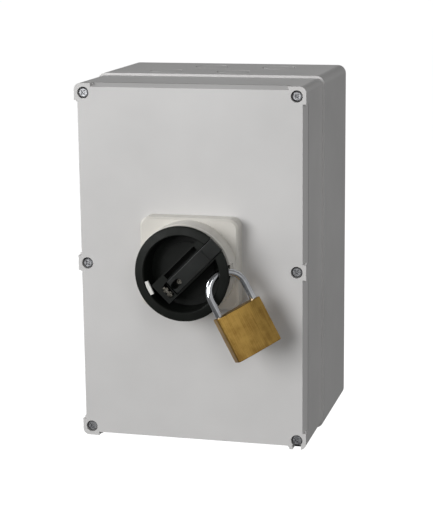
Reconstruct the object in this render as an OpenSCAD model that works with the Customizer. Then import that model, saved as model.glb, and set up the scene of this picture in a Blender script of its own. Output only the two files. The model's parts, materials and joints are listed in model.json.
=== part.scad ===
// Wall-mounted fused switch disconnector in a moulded enclosure, with a rotary handle and padlock.
// X is to the right, +Z is up and the front faces -Y. The origin is the centre of the wall fixings
// on the back face, so the enclosure lies between y = 0 and y = -enclosure_d.

/* [Enclosure] */
// Width of the lid
enclosure_w = 200; // [180:1:260]
// Height of the lid
enclosure_h = 310; // [290:1:400]
// Depth from the wall to the front panel
enclosure_d = 172; // [160:1:210]
// Depth of the lid, from the joint to the front panel
lid_d = 69; // [55:1:80]
// How far the base stands out past the lid on each side
base_lip = 2; // [1:0.5:3]
// Wall thickness of the base and the lid
wall = 4; // [3:0.5:5]
// Outer corner radius of the lid
lid_corner_r = 5.5; // [3:0.5:8]
// Height of the raised front panel above the lid's rim
panel_rise = 9; // [4:1:12]
// Inward slope of the raised panel's edge
panel_slope = 3; // [1:0.5:5]

/* [Lid screws] */
// Distance from a lid screw's centre to the lid's edges
screw_inset = 8; // [7:0.5:12]
// Radius of the sunk pocket around a screw head
pocket_r = 5; // [4.8:0.1:6]
// Depth of a screw pocket below the front panel
pocket_depth = 4.6; // [3:0.2:8]
// Half the height of the flat pad around a screw
pad_half = 6.5; // [6:0.25:9]
// Radius of a screw head
head_r = 4.1; // [3.5:0.1:5]
// Radius of a screw shank
screw_r = 2; // [1.5:0.1:2.5]
// Running clearance of a screw in its insert
thread_gap = 0.05; // [0.02:0.01:0.1]

/* [Wall fixings] */
// Horizontal distance between the wall fixing holes
fixing_w = 150; // [120:1:155]
// Vertical distance between the wall fixing holes
fixing_h = 280; // [265:1:285]
// Radius of a wall fixing hole
fixing_r = 2.8; // [2:0.1:4]

/* [Knockouts] */
// Radius of a cable knockout
knockout_r = 15; // [8:0.5:17]
// Sideways step from one knockout to the next
knockout_pitch = 31; // [31:0.5:40]
// Distance between the front and back rows of knockouts
knockout_rows = 43; // [34:1:50]
// Width of the groove around a knockout
knockout_groove = 1.4; // [0.8:0.1:2]

/* [Escutcheon] */
// Width of the escutcheon plate
plate_w = 85; // [84:1:110]
// Height of the escutcheon plate
plate_h = 77; // [74:1:110]
// Height of the plate's middle above the handle's axis
plate_rise = 4; // [0:0.5:6]
// Thickness of the escutcheon plate
plate_t = 15; // [12:0.5:20]
// Corner radius of the escutcheon plate
plate_corner_r = 8; // [4:0.5:12]
// Outer radius of the round collar
collar_r = 41; // [40.6:0.1:42]
// Height of the collar in front of the plate
collar_h = 18; // [14:0.5:20]
// Place of the handle's axis to the right of the enclosure's middle
handle_x = 3; // [-20:1:20]
// Place of the handle's axis above the enclosure's middle
handle_z = 3; // [-10:1:10]

/* [Handle] */
// Outer radius of the handle's rim
rim_r = 40.3; // [38:0.1:42]
// Inner radius of the handle's rim
bowl_r = 32.5; // [28:0.5:34]
// Outer radius of the bowl's side wall
skirt_r = 37.6; // [35:0.1:39]
// Distance from the front panel to the handle's rim face
handle_front = 40; // [38:0.5:46]
// Thickness of the handle's rim
rim_t = 3; // [2.5:0.25:3]
// Depth of the bowl
bowl_depth = 21.5; // [18:0.5:24]
// Half the width of the grip bar
grip_half_w = 10.6; // [9:0.1:13]
// Angle of the grip bar above the horizontal
grip_angle = 45; // [0:1:90]

/* [Lock slide] */
// Width of the lock slide
slide_w = 14; // [10:0.5:16]
// Clearance around moving pieces
gap = 0.35; // [0.25:0.05:0.6]

/* [Padlock] */
// Width of the padlock's body
lock_w = 42; // [38:1:44]
// Height of the padlock's body
lock_h = 40; // [32:1:44]
// Thickness of the padlock's body
lock_t = 14; // [12:0.5:16]
// Radius of the shackle bar
shackle_r = 3.1; // [2.5:0.1:3.3]
// Distance between the shackle's two legs, centre to centre
shackle_w = 33; // [32:0.5:33.5]
// Straight length of a shackle leg above the body
shackle_leg = 15; // [15:0.5:18]
// Running clearance of the shackle and the key plug in the body
lock_gap = 0.06; // [0.03:0.01:0.1]

/* [Switch] */
// Side of the square switch housing
deck_side = 72; // [60:1:80]
// Thickness of one switch deck
deck_t = 17; // [14:1:20]
// Side of the square operating shaft
shaft_side = 8; // [6:0.5:10]
// Outer radius of a rotor
rotor_r = 15; // [12:0.5:18]

/* [Fuses] */
// Radius of a fuse link's ceramic body
fuse_r = 9.5; // [7:0.5:11]
// Length of a fuse link
fuse_len = 51; // [38:1:58]
// Sideways step from one fuse to the next
fuse_pitch = 50; // [44:1:54]

/* [Hidden] */
$fn = 64;
base_w = enclosure_w + 2 * base_lip;
base_h = enclosure_h + 2 * base_lip;
base_corner_r = lid_corner_r + base_lip;
seam_y = -(enclosure_d - lid_d);
panel_y = -enclosure_d;
rim_y = panel_y + panel_rise;
pocket_floor_y = panel_y + pocket_depth;
boss_side = 2 * screw_inset;
screw_x = enclosure_w / 2 - screw_inset;
screw_z = enclosure_h / 2 - screw_inset;
screw_places = [for (sx = [-1, 1], sz = [-1, 0, 1]) [sx * screw_x, sz * screw_z]];
head_t = 2.6;
washer_t = 1;
notch_half = 3.6;
insert_r = 3.4;
insert_len = 12;
post_r = 7;
screw_tip_y = seam_y + insert_len - 2;
gasket_w = 2.8;
gasket_t = 3;
groove_w = 3.4;
// Line half way through the lid's wall, which the gasket follows
gasket_line = wall / 2 + 0.5;

plate_front_y = panel_y - plate_t;
collar_front_y = plate_front_y - collar_h;
rim_front_y = panel_y - handle_front;
rim_back_y = rim_front_y + rim_t;
bowl_floor_y = rim_front_y + bowl_depth;
floor_t = 3.5;
skirt_back_y = bowl_floor_y + floor_t;
skirt_gap = 0.5;
well_floor_y = skirt_back_y + skirt_gap;
collar_in_r = skirt_r + skirt_gap;
hub_r = 11;
hub_gap = 0.08;
hub_end_y = panel_y + 16;
washer_y = panel_y + wall + 1.5;
relief_y = plate_front_y - 8.5;
relief_from = -112;
relief_to = 12;
slot_half_z = 6.2;

bar_low = -26;
bar_top_y = rim_front_y + 1.6;
slide_centre = 2.8;
slide_low = -14.5;
slide_floor_y = bar_top_y + 9;
slide_head_y = rim_back_y + 1;
slide_end = rim_r - 0.3;
guide_at = -7;
guide_r = 2.4;
latch_at = -19;
index_angle = 205;
index_len = 12;
index_w = 4.6;

hook_x = 45.4;
hook_y = -33.8;
hook_z = -27.4;
lock_yaw = 33;
lock_tip = -15;
lock_lean = -23;
toe_depth = 9;
heel_depth = 26;
plug_r = 6.2;

socket_r = 9;
socket_len = 20;
shaft_gap = 0.15;
plate_y = -14;
plate_metal_t = 2;
pillar_r = 6;
pillar_x = enclosure_w / 2 - 22;
pillar_z = enclosure_h / 2 - 35;
decks = 3;
stack_back_y = plate_y - plate_metal_t - 3;
stack_front_y = stack_back_y - decks * deck_t;
cover_t = 5;
shaft_front_y = hub_end_y - socket_len + 4;
rotor_gap = 0.08;
tie_r = 2;
tie_at = deck_side / 2 - 6;
terminal_w = 16;
terminal_r = 2.4;
blade_w = 4;
blade_off = shaft_side / 2 + 0.6;
blade_t = 2.4;
fuse_z = -84;
fuse_base_w = 34;
fuse_base_h = 88;
fuse_base_y = plate_y - plate_metal_t;
fuse_base_t = 14;
fuse_y = fuse_base_y - fuse_base_t - 16;
cap_len = 11;
cap_r = fuse_r + 0.6;
clip_t = 1.2;
carrier_w = 26;
carrier_hinge_z = fuse_z - fuse_len / 2 - 9;
carrier_hinge_y = fuse_y - 2;
hinge_r = 2.2;
hinge_gap = 0.06;
rail_z = 104;

// Rounded rectangle centred on the origin
module rounded(w, h, r) {
    square([w - 2 * r, h], center = true);
    square([w, h - 2 * r], center = true);
    for (sx = [-1, 1], sz = [-1, 1])
        translate([sx * (w / 2 - r), sz * (h / 2 - r)])
            circle(r = r, $fn = 48);
}

// Upright rounded plate from y = back to y = front
module slab(w, h, r, back, front) {
    translate([0, back, 0])
        rotate([90, 0, 0])
            linear_extrude(back - front)
                rounded(w, h, r);
}

// Cylinder along Y from y = back to y = front
module rod(r, back, front, x = 0, z = 0) {
    translate([x, back, z])
        rotate([90, 0, 0])
            cylinder(r = r, h = back - front);
}

// Box given by its limits along each axis
module block(x, y, z) {
    translate([x[0], y[0], z[0]])
        cube([x[1] - x[0], y[1] - y[0], z[1] - z[0]]);
}

// Body of revolution about the Y axis, outline in [radius, y]
module turned(outline) {
    rotate([90, 0, 0])
        rotate_extrude($fn = 96)
            polygon([for (p = outline) [p[0], -p[1]]]);
}

module at_handle() {
    translate([handle_x, 0, handle_z])
        children();
}

module at_plate() {
    translate([handle_x, 0, handle_z + plate_rise])
        children();
}

module at_plate_screws() {
    for (sx = [-1, 1], sz = [-1, 1])
        translate([sx * (plate_w / 2 - 10), 0, sz * (plate_h / 2 - 10)])
            at_plate()
                children();
}

// Frame of the grip bar: X runs along the bar and Z across it
module along_grip() {
    at_handle()
        rotate([0, -grip_angle, 0])
            children();
}

module at_screws() {
    for (p = screw_places)
        translate([p[0], 0, p[1]])
            children();
}

// ---- Enclosure

module knockout(x, y, side) {
    translate([x, y, side * base_h / 2])
        rotate([side > 0 ? 180 : 0, 0, 0])
            difference() {
                translate([0, 0, -1])
                    cylinder(r = knockout_r, h = wall / 2 + 1);
                translate([0, 0, -2])
                    cylinder(r = knockout_r - knockout_groove, h = wall);
            }
}

module base_shell() {
    inner_w = base_w - 2 * wall;
    inner_h = base_h - 2 * wall;
    mouth = 2 * (wall + 1);
    row_y = seam_y / 2 - 3;
    color("lightgray")
        difference() {
            union() {
                difference() {
                    slab(base_w, base_h, base_corner_r, 0, seam_y);
                    slab(inner_w, inner_h, base_corner_r - wall, -wall, seam_y - 1);
                }
                difference() {
                    slab(base_w - 1, base_h - 1, base_corner_r - 0.5, seam_y + 8, seam_y);
                    slab(enclosure_w - mouth, enclosure_h - mouth, 3, seam_y + 9, seam_y - 1);
                }
                at_screws()
                    rod(post_r, -wall + 1, seam_y);
                for (sx = [-1, 1], sz = [-1, 1]) {
                    rod(pillar_r, -wall + 1, plate_y, sx * pillar_x, sz * pillar_z);
                    rod(fixing_r + 4.2, -wall + 1, -wall - 2, sx * fixing_w / 2, sz * fixing_h / 2);
                }
            }
            difference() {
                slab(enclosure_w - 2 * gasket_line + groove_w, enclosure_h - 2 * gasket_line + groove_w,
                     4.2, seam_y + gasket_t, seam_y - 1);
                slab(enclosure_w - 2 * gasket_line - groove_w, enclosure_h - 2 * gasket_line - groove_w,
                     2, seam_y + gasket_t + 1, seam_y - 2);
            }
            at_screws()
                rod(insert_r, seam_y + insert_len, seam_y - 1);
            for (sx = [-1, 1], sz = [-1, 1]) {
                rod(fixing_r, 1, -wall - 3, sx * fixing_w / 2, sz * fixing_h / 2);
                rod(1.6, plate_y + 8, plate_y - 1, sx * pillar_x, sz * pillar_z);
            }
            for (i = [0:3], side = [-1, 1])
                knockout((i - 1.5) * knockout_pitch, row_y + (i % 2 == 0 ? -1 : 1) * knockout_rows / 2,
                      side);
        }
}

module lid_gasket() {
    color("dimgray")
        difference() {
            slab(enclosure_w - 2 * gasket_line + gasket_w, enclosure_h - 2 * gasket_line + gasket_w,
                 3.9, seam_y + gasket_t, seam_y);
            slab(enclosure_w - 2 * gasket_line - gasket_w, enclosure_h - 2 * gasket_line - gasket_w,
                 2.3, seam_y + gasket_t + 1, seam_y - 1);
        }
}

module screw_inserts() {
    color("goldenrod")
        at_screws()
            difference() {
                rod(insert_r, seam_y + insert_len, seam_y);
                rod(screw_r + thread_gap, seam_y + insert_len + 1, seam_y - 1);
            }
}

// Flat pads that carry the panel's level out to the lid's edge at each screw
module screw_pads() {
    reach = 2 * screw_inset;
    intersection() {
        slab(enclosure_w - 0.02, enclosure_h - 0.02, lid_corner_r, rim_y + 1, panel_y);
        for (p = screw_places)
            translate([p[0], 0, p[1]])
                block([p[0] < 0 ? -reach : -pad_half, p[0] > 0 ? reach : pad_half], [panel_y - 1, rim_y + 2],
                      [p[1] < 0 ? -reach : -pad_half, p[1] > 0 ? reach : pad_half]);
    }
}

module lid_shell() {
    inset = 0.3;
    cavity = 2 * (wall + 1);
    color("gainsboro")
        difference() {
            union() {
                difference() {
                    union() {
                        slab(enclosure_w, enclosure_h, lid_corner_r, seam_y, rim_y);
                        hull() {
                            slab(enclosure_w - inset, enclosure_h - inset, lid_corner_r, rim_y + 0.5,
                                  rim_y, $fn = 32);
                            slab(enclosure_w - 2 * panel_slope, enclosure_h - 2 * panel_slope,
                                  lid_corner_r - 1,
                                 panel_y + 0.1, panel_y, $fn = 32);
                        }
                    }
                    slab(enclosure_w - cavity, enclosure_h - cavity, 3, seam_y + 1, panel_y + wall);
                }
                screw_pads();
                intersection() {
                    at_screws()
                        block([-boss_side / 2, boss_side / 2], [pocket_floor_y - 3, seam_y],
                              [-boss_side / 2, boss_side / 2]);
                    slab(enclosure_w - 1, enclosure_h - 1, lid_corner_r - 0.5, seam_y, panel_y + wall);
                }
            }
            at_screws() {
                rod(pocket_r, pocket_floor_y, panel_y - 1);
                rod(screw_r + 0.4, seam_y + 1, pocket_floor_y - 1);
            }
            at_handle()
                rod(hub_r + 3, panel_y + wall + 1, panel_y - 1);
            at_plate_screws()
                rod(screw_r + 0.2, panel_y + wall + 1, panel_y - 1);
            // Sealing-wire notch below the lower right screw
            block([screw_x - notch_half, screw_x + notch_half], [panel_y - 1, pocket_floor_y],
                  [-enclosure_h / 2 - 1, -screw_z]);
            block([screw_x - notch_half, screw_x + notch_half], [panel_y - 1, rim_y],
                  [-enclosure_h / 2 - 1, -enclosure_h / 2 + panel_slope]);
        }
}

module lid_screws() {
    color("silver")
        at_screws()
            difference() {
                union() {
                    rod(head_r, pocket_floor_y - washer_t, pocket_floor_y - washer_t - head_t);
                    rod(screw_r, screw_tip_y, pocket_floor_y - washer_t - 0.5);
                }
                for (a = [0, 90])
                    rotate([0, a + 45, 0])
                        block([-2.6, 2.6], [pocket_floor_y - washer_t - head_t - 1,
                              pocket_floor_y - washer_t - head_t + 1.3], [-0.6, 0.6]);
            }
}

module screw_washers() {
    color("dimgray")
        at_screws()
            difference() {
                rod(head_r + 0.6, pocket_floor_y, pocket_floor_y - washer_t);
                rod(screw_r + 0.1, pocket_floor_y + 1, pocket_floor_y - washer_t - 1);
            }
}

module mounting_plate() {
    w = 2 * pillar_x + 2 * pillar_r - 2;
    h = 2 * pillar_z + 2 * pillar_r + 4;
    color("lightsteelblue")
        difference() {
            slab(w, h, 4, plate_y, plate_y - plate_metal_t);
            for (sx = [-1, 1], sz = [-1, 1])
                rod(2.1, plate_y + 1, plate_y - plate_metal_t - 1, sx * pillar_x, sz * pillar_z);
            at_handle()
                for (sx = [-1, 1], sz = [-1, 1])
                    rod(tie_r, plate_y + 1, plate_y - plate_metal_t - 1, sx * tie_at, sz * tie_at);
        }
}

module plate_screws() {
    color("silver")
        for (sx = [-1, 1], sz = [-1, 1]) {
            rod(1.6, plate_y + 7, plate_y - plate_metal_t - 1, sx * pillar_x, sz * pillar_z);
            rod(3.6, plate_y - plate_metal_t, plate_y - plate_metal_t - 2.4, sx * pillar_x, sz * pillar_z);
        }
}

// ---- Escutcheon

module escutcheon() {
    bevel = 1.6;
    front_w = plate_w - 2 * bevel;
    front_h = plate_h - 2 * bevel;
    color("whitesmoke")
        difference() {
            union() {
                at_plate() {
                    slab(plate_w, plate_h, plate_corner_r, panel_y, plate_front_y + bevel);
                    hull() {
                        slab(plate_w - 0.1, plate_h - 0.1, plate_corner_r, plate_front_y + bevel + 0.5,
                             plate_front_y + bevel, $fn = 32);
                        slab(front_w, front_h, plate_corner_r - 1.2, plate_front_y + 0.1, plate_front_y,
                              $fn = 32);
                    }
                }
                at_handle()
                    turned([[hub_r + 1, panel_y], [collar_r, panel_y], [collar_r, collar_front_y + 0.6],
                            [collar_r - 0.6, collar_front_y], [collar_in_r - 3, collar_front_y],
                            [collar_in_r - 3, well_floor_y], [hub_r + 1, well_floor_y]]);
            }
            at_handle() {
                rod(collar_in_r, well_floor_y, collar_front_y - 1);
                rod(hub_r + hub_gap, panel_y + 1, well_floor_y - 1);
                // Relief that lets the shackle travel with the handle
                difference() {
                    rod(collar_r + 2, relief_y, collar_front_y - 1);
                    rod(collar_in_r - 1, relief_y + 1, collar_front_y - 2);
                    collar_sector();
                }
            }
            at_plate_screws()
                rod(1.5, panel_y + 1, panel_y - plate_t + 4);
            at_plate()
                translate([-plate_w / 4, panel_y - plate_t / 2, plate_h / 2 - 2])
                    cylinder(r = 0.8, h = 3, $fn = 24);
        }
}

// Part of the collar that keeps its full height
module collar_sector() {
    reach = 2 * collar_r;
    steps = 8;
    span = 360 - (relief_to - relief_from);
    translate([0, relief_y + 2, 0])
        rotate([90, 0, 0])
            linear_extrude(collar_h + 4)
                polygon(concat([[0, 0]], [for (i = [0:steps])
                    let(a = relief_to + span * i / steps) [reach * cos(a), reach * sin(a)]]));
}

module escutcheon_seal() {
    color("dimgray")
        at_handle()
            difference() {
                rod(hub_r + 3, panel_y + wall, panel_y);
                rod(hub_r + 0.4, panel_y + wall + 1, panel_y - 1);
            }
}

module escutcheon_screws() {
    color("silver")
        at_plate_screws() {
            rod(1.5, panel_y + wall + 0.5, panel_y - 9);
            rod(3.2, panel_y + wall + 2, panel_y + wall);
        }
}

// ---- Handle

module handle_bowl() {
    chamfer = 1.7;
    color([0.13, 0.14, 0.13])
        difference() {
            union() {
                at_handle()
                    difference() {
                        turned([[0, skirt_back_y], [skirt_r, skirt_back_y], [skirt_r, rim_back_y],
                                [rim_r, rim_back_y], [rim_r, rim_front_y + 2.4],
                                [rim_r - chamfer, rim_front_y + 0.8], [bowl_r + 0.8, rim_front_y],
                                [bowl_r, rim_front_y + 0.8], [bowl_r - 1.5, bowl_floor_y],
                                      [23.5, bowl_floor_y],
                                [23.5, bowl_floor_y - 1.5], [0, bowl_floor_y - 1.5]]);
                        // Opening in the side wall for the shackle
                        block([bowl_r - 5, rim_r + 2], [rim_back_y, bowl_floor_y - 1],
                              [-slot_half_z - 1.5, slot_half_z + 1.5]);
                    }
                at_handle()
                    rod(hub_r, hub_end_y, skirt_back_y - 1);
                intersection() {
                    along_grip()
                        block([bar_low, bowl_r + 2], [bar_top_y, bowl_floor_y + 0.5],
                              [-grip_half_w, grip_half_w]);
                    at_handle()
                        rod(bowl_r + 1, skirt_back_y, rim_front_y);
                }
            }
            along_grip() {
                slide_lo = -slide_centre - slide_w / 2;
                slide_hi = -slide_centre + slide_w / 2;
                // Channel for the lock slide
                block([slide_low - 1, bowl_r - 1], [bar_top_y - 1, slide_floor_y], [slide_lo, slide_hi]);
                block([bowl_r - 2, rim_r + 4], [rim_front_y - 1, slide_head_y + gap], [slide_lo, slide_hi]);
                // Finger groove beside it
                block([-12, bowl_r - 8], [bar_top_y - 1, bar_top_y + 10],
                      [slide_hi + 0.8, grip_half_w - 1.3]);
                rod(1.5, slide_floor_y + 6, slide_floor_y - 1, guide_at, -slide_centre);
                // Seat of the latch clip
                block([latch_at - 2.6, latch_at + 2.6], [bar_top_y - 1, bar_top_y + 3],
                      [-slide_centre - 5, -slide_centre + 5]);
            }
            index_seat();
            at_handle()
                rod(socket_r, hub_end_y + 1, hub_end_y - socket_len);
        }
}

module index_seat() {
    at_handle()
        rotate([0, -index_angle, 0])
            block([bowl_r - 3.4, bowl_r - 3.4 + index_w], [rim_front_y + 1, rim_front_y + 3],
                  [-index_len / 2, index_len / 2]);
}

module index_mark() {
    color("white")
        index_seat();
}

module lock_slide() {
    half = slide_w / 2 - gap;
    color([0.2, 0.21, 0.2])
        along_grip()
            translate([0, 0, -slide_centre])
                difference() {
                    union() {
                        block([slide_low, bowl_r - 5], [bar_top_y - 0.4, slide_floor_y - gap],
                              [-half, half]);
                        block([bowl_r - 6, slide_end], [rim_front_y + 0.8, slide_head_y], [-half, half]);
                    }
                    // Slot that the guide screw stands in
                    block([guide_at - 4, guide_at + 0.2], [bar_top_y - 2, slide_floor_y + 1],
                          [-guide_r - 0.7, guide_r + 0.7]);
                    rod(guide_r + 0.7, slide_floor_y + 1, bar_top_y - 2, guide_at - 4);
                    rod(guide_r + 0.7, slide_floor_y + 1, bar_top_y - 2, guide_at + 0.2);
                }
}

module slide_screw() {
    color("darkgray")
        along_grip()
            translate([guide_at, 0, -slide_centre])
                difference() {
                    union() {
                        rod(1.5, slide_floor_y + 5, slide_floor_y - 1);
                        rod(guide_r, slide_floor_y, slide_floor_y - 5);
                    }
                    for (a = [0, 90])
                        rotate([0, a, 0])
                            block([-1.6, 1.6], [slide_floor_y - 6, slide_floor_y - 4], [-0.4, 0.4]);
                }
}

module latch_clip() {
    half = 5;
    color("gray")
        along_grip()
            translate([latch_at, 0, -slide_centre])
                difference() {
                    block([-2.4, 2.4], [bar_top_y - 2.2, bar_top_y + 3], [-half, half]);
                    block([-1.2, 1.2], [bar_top_y - 3, bar_top_y], [-half + 1.2, -0.8]);
                    block([-1.2, 1.2], [bar_top_y - 3, bar_top_y], [0.8, half - 1.2]);
                }
}

module shaft_socket() {
    color("slategray")
        at_handle()
            difference() {
                rod(socket_r, hub_end_y, hub_end_y - socket_len);
                block([-shaft_side / 2 - shaft_gap, shaft_side / 2 + shaft_gap],
                      [hub_end_y - socket_len - 1, hub_end_y + 1],
                      [-shaft_side / 2 - shaft_gap, shaft_side / 2 + shaft_gap]);
            }
}

module hub_clip() {
    color("silver")
        at_handle()
            difference() {
                rod(hub_r + 3, washer_y + 1.6, washer_y);
                rod(hub_r, washer_y + 3, washer_y - 1);
            }
}

// ---- Padlock

module at_padlock() {
    translate([hook_x + handle_x, panel_y + hook_y, hook_z + handle_z])
        rotate([0, 0, lock_yaw])
            rotate([lock_tip, 0, 0])
                rotate([0, lock_lean, 0])
                    children();
}

module padlock_shackle() {
    notch = 1.4;
    color("silver")
        at_padlock()
            difference() {
                union() {
                    translate([0, 0, shackle_leg])
                        rotate([90, 0, 0])
                            rotate_extrude(angle = 180)
                                translate([shackle_w / 2, 0])
                                    circle(r = shackle_r, $fn = 32);
                    translate([-shackle_w / 2, 0, -toe_depth + 1])
                        cylinder(r = shackle_r, h = toe_depth - 1 + shackle_leg);
                    translate([shackle_w / 2, 0, -heel_depth + 1])
                        cylinder(r = shackle_r, h = heel_depth - 1 + shackle_leg);
                }
                block([-shackle_w / 2 + shackle_r - notch, -shackle_w / 2 + shackle_r + 1], [-4, 4],
                      [-6, -3]);
            }
}

module padlock_body() {
    edge = 1.2;
    color([0.7, 0.55, 0.25])
        at_padlock()
            difference() {
                union() {
                    block([-lock_w / 2 + edge, lock_w / 2 - edge], [-lock_t / 2, lock_t / 2], [-lock_h, 0]);
                    block([-lock_w / 2, lock_w / 2], [-lock_t / 2 + edge, lock_t / 2 - edge], [-lock_h, 0]);
                    for (sx = [-1, 1], sy = [-1, 1])
                        translate([sx * (lock_w / 2 - edge), sy * (lock_t / 2 - edge), -lock_h])
                            cylinder(r = edge, h = lock_h, $fn = 24);
                }
                translate([-shackle_w / 2, 0, -toe_depth])
                    cylinder(r = shackle_r + lock_gap, h = toe_depth + 1);
                translate([shackle_w / 2, 0, -heel_depth - 12])
                    cylinder(r = shackle_r + lock_gap, h = heel_depth + 13);
                translate([0, 0, -lock_h - 1])
                    cylinder(r = plug_r + lock_gap, h = 25);
            }
}

module padlock_plug() {
    color("goldenrod")
        at_padlock()
            difference() {
                translate([0, 0, -lock_h])
                    cylinder(r = plug_r, h = 23.5);
                block([-4.4, 4.4], [-0.9, 0.9], [-lock_h - 1, -lock_h + 9]);
                block([-1.4, 1.4], [-2, 2], [-lock_h - 1, -lock_h + 9]);
            }
}

// ---- Switch

module switch_shaft() {
    half = shaft_side / 2;
    color("silver")
        at_handle()
            block([-half, half], [shaft_front_y, stack_back_y - 1], [-half, half]);
}

module deck_places() {
    for (i = [0:decks - 1])
        translate([0, stack_back_y - i * deck_t, 0])
            children();
}

module rotors() {
    half = shaft_side / 2 + 0.05;
    color("ivory")
        at_handle()
            deck_places()
                difference() {
                    rod(rotor_r, -1, -deck_t + 1);
                    block([-half, half], [-deck_t, 0], [-half, half]);
                    blade_strips(rotor_r + 1);
                }
}

// Pair of strips on either side of the shaft
module blade_strips(reach) {
    for (side = [-1, 1])
        translate([0, -deck_t / 2, side * (blade_off + blade_w / 2)])
            cube([2 * reach, blade_t, blade_w], center = true);
}

module contact_blades() {
    color([0.8, 0.5, 0.3])
        at_handle()
            deck_places()
                intersection() {
                    blade_strips(rotor_r + 1);
                    rod(rotor_r - 0.2, 0, -deck_t);
                }
}

module deck(index) {
    back = stack_back_y - index * deck_t;
    half = deck_side / 2;
    slot = terminal_w / 2 + 0.2;
    at_handle()
        difference() {
            slab(deck_side, deck_side, 4, back, back - deck_t);
            rod(rotor_r + rotor_gap, back + 1, back - deck_t - 1);
            for (sx = [-1, 1], sz = [-1, 1])
                rod(tie_r, back + 1, back - deck_t - 1, sx * tie_at, sz * tie_at);
            for (sz = [-1, 1]) {
                block([-slot, slot], [back - deck_t / 2 - 1.6, back - deck_t / 2 + 1.6],
                      sz > 0 ? [rotor_r - 1, half + 1] : [-half - 1, -rotor_r + 1]);
                block([-slot, slot], [back - deck_t - 1, back - deck_t / 2],
                      sz > 0 ? [half - 13, half + 1] : [-half - 1, -half + 13]);
            }
        }
}

module rear_deck() { color("darkslategray") deck(0); }
module middle_deck() { color("darkslategray") deck(1); }
module front_deck() { color("darkslategray") deck(2); }

module deck_cover() {
    color("slategray")
        at_handle()
            difference() {
                slab(deck_side, deck_side, 4, stack_front_y, stack_front_y - cover_t);
                rod(shaft_side * 0.75 + 0.6, stack_front_y + 1, stack_front_y - cover_t - 1);
                for (sx = [-1, 1], sz = [-1, 1])
                    rod(tie_r, stack_front_y + 1, stack_front_y - cover_t - 1, sx * tie_at, sz * tie_at);
            }
}

module tie_bolts() {
    color("silver")
        at_handle()
            for (sx = [-1, 1], sz = [-1, 1])
                translate([sx * tie_at, 0, sz * tie_at]) {
                    rod(tie_r, plate_y, stack_front_y - cover_t - 1);
                    rod(3.6, stack_front_y - cover_t, stack_front_y - cover_t - 2.6);
                    rod(3.6, plate_y - plate_metal_t, stack_back_y);
                }
}

module fixed_contacts() {
    half = deck_side / 2;
    color([0.8, 0.5, 0.3])
        at_handle()
            deck_places()
                for (sz = [-1, 1])
                    difference() {
                        block([-terminal_w / 2, terminal_w / 2], [-deck_t / 2 - 1.2, -deck_t / 2 + 1.2],
                              sz > 0 ? [rotor_r + 0.6, half + 2] : [-half - 2, -rotor_r - 0.6]);
                        rod(terminal_r, 1, -deck_t, 0, sz * (half - 6));
                    }
}

module terminal_screws() {
    color("silver")
        at_handle()
            deck_places()
                for (sz = [-1, 1])
                    translate([0, 0, sz * (deck_side / 2 - 6)]) {
                        rod(terminal_r, -deck_t / 2 + 1.4, -deck_t / 2 - 2);
                        rod(4, -deck_t / 2 - 1.2, -deck_t + 2);
                    }
}

// ---- Fuses

module at_fuse(index) {
    translate([(index - 1) * fuse_pitch, 0, fuse_z])
        children();
}

module fuse_base() {
    color("dimgray")
        for (i = [0:2])
            at_fuse(i)
                difference() {
                    union() {
                        block([-fuse_base_w / 2, fuse_base_w / 2],
                              [fuse_base_y - fuse_base_t, fuse_base_y],
                                    [-fuse_base_h / 2, fuse_base_h / 2 - 6]);
                        for (sx = [-1, 1])
                            block([sx > 0 ? carrier_w / 2 + 0.5 : -fuse_base_w / 2,
                                  sx > 0 ? fuse_base_w / 2 : -carrier_w / 2 - 0.5],
                                  [carrier_hinge_y - 5, fuse_base_y - 1],
                                  [carrier_hinge_z - fuse_z - 5, carrier_hinge_z - fuse_z + 5]);
                    }
                    translate([-fuse_base_w, carrier_hinge_y, carrier_hinge_z - fuse_z])
                        rotate([0, 90, 0])
                            cylinder(r = hinge_r, h = 2 * fuse_base_w);
                }
}

module fuse_clips() {
    jaw = cap_r + 0.3;
    base_y = fuse_base_y - fuse_base_t;
    color([0.85, 0.6, 0.4])
        for (i = [0:2], sz = [-1, 1])
            at_fuse(i)
                translate([0, 0, sz * (fuse_len / 2 - cap_len / 2)])
                    union() {
                        block([-jaw - clip_t, jaw + clip_t], [base_y - clip_t, base_y], [-4, 4]);
                        for (sx = [-1, 1])
                            block([sx > 0 ? jaw : -jaw - clip_t, sx > 0 ? jaw + clip_t : -jaw],
                                  [fuse_y - 4, base_y], [-4, 4]);
                    }
}

module fuse_link(index) {
    color("white")
        at_fuse(index)
            translate([0, fuse_y, -fuse_len / 2 + 1])
                cylinder(r = fuse_r, h = fuse_len - 2);
}

module fuse_caps(index) {
    color("silver")
        at_fuse(index)
            for (sz = [-1, 1])
                translate([0, fuse_y, sz * (fuse_len / 2 - cap_len / 2)])
                    difference() {
                        translate([0, 0, -cap_len / 2])
                            cylinder(r = cap_r, h = cap_len);
                        translate([0, 0, sz > 0 ? -cap_len / 2 - 1 : -cap_len / 2 + 1])
                            cylinder(r = fuse_r, h = cap_len);
                    }
}

module fuse_carrier(index) {
    top = fuse_len / 2 + 6;
    front = fuse_y - cap_r - 6;
    low = carrier_hinge_z - fuse_z;
    half = carrier_w / 2;
    color("darkslategray")
        at_fuse(index)
            difference() {
                union() {
                    block([-half, half], [front, front + 5], [low - 3, top]);
                    block([-half, half], [front, carrier_hinge_y + 3.6], [low - 3.6, low + 4]);
                    block([-half, half], [front, fuse_y], [top - 5, top]);
                    block([-6, 6], [front - 8, front + 1], [top - 8, top]);
                    for (sz = [-1, 1])
                        block([-3, 3], [front + 4, fuse_y - fuse_r + 0.8], [sz * 8 - 3, sz * 8 + 3]);
                }
                translate([-fuse_base_w, carrier_hinge_y, low])
                    rotate([0, 90, 0])
                        cylinder(r = hinge_r + hinge_gap, h = 2 * fuse_base_w);
                translate([0, fuse_y, -fuse_len / 2 - 1])
                    cylinder(r = fuse_r, h = fuse_len + 2);
            }
}

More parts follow.
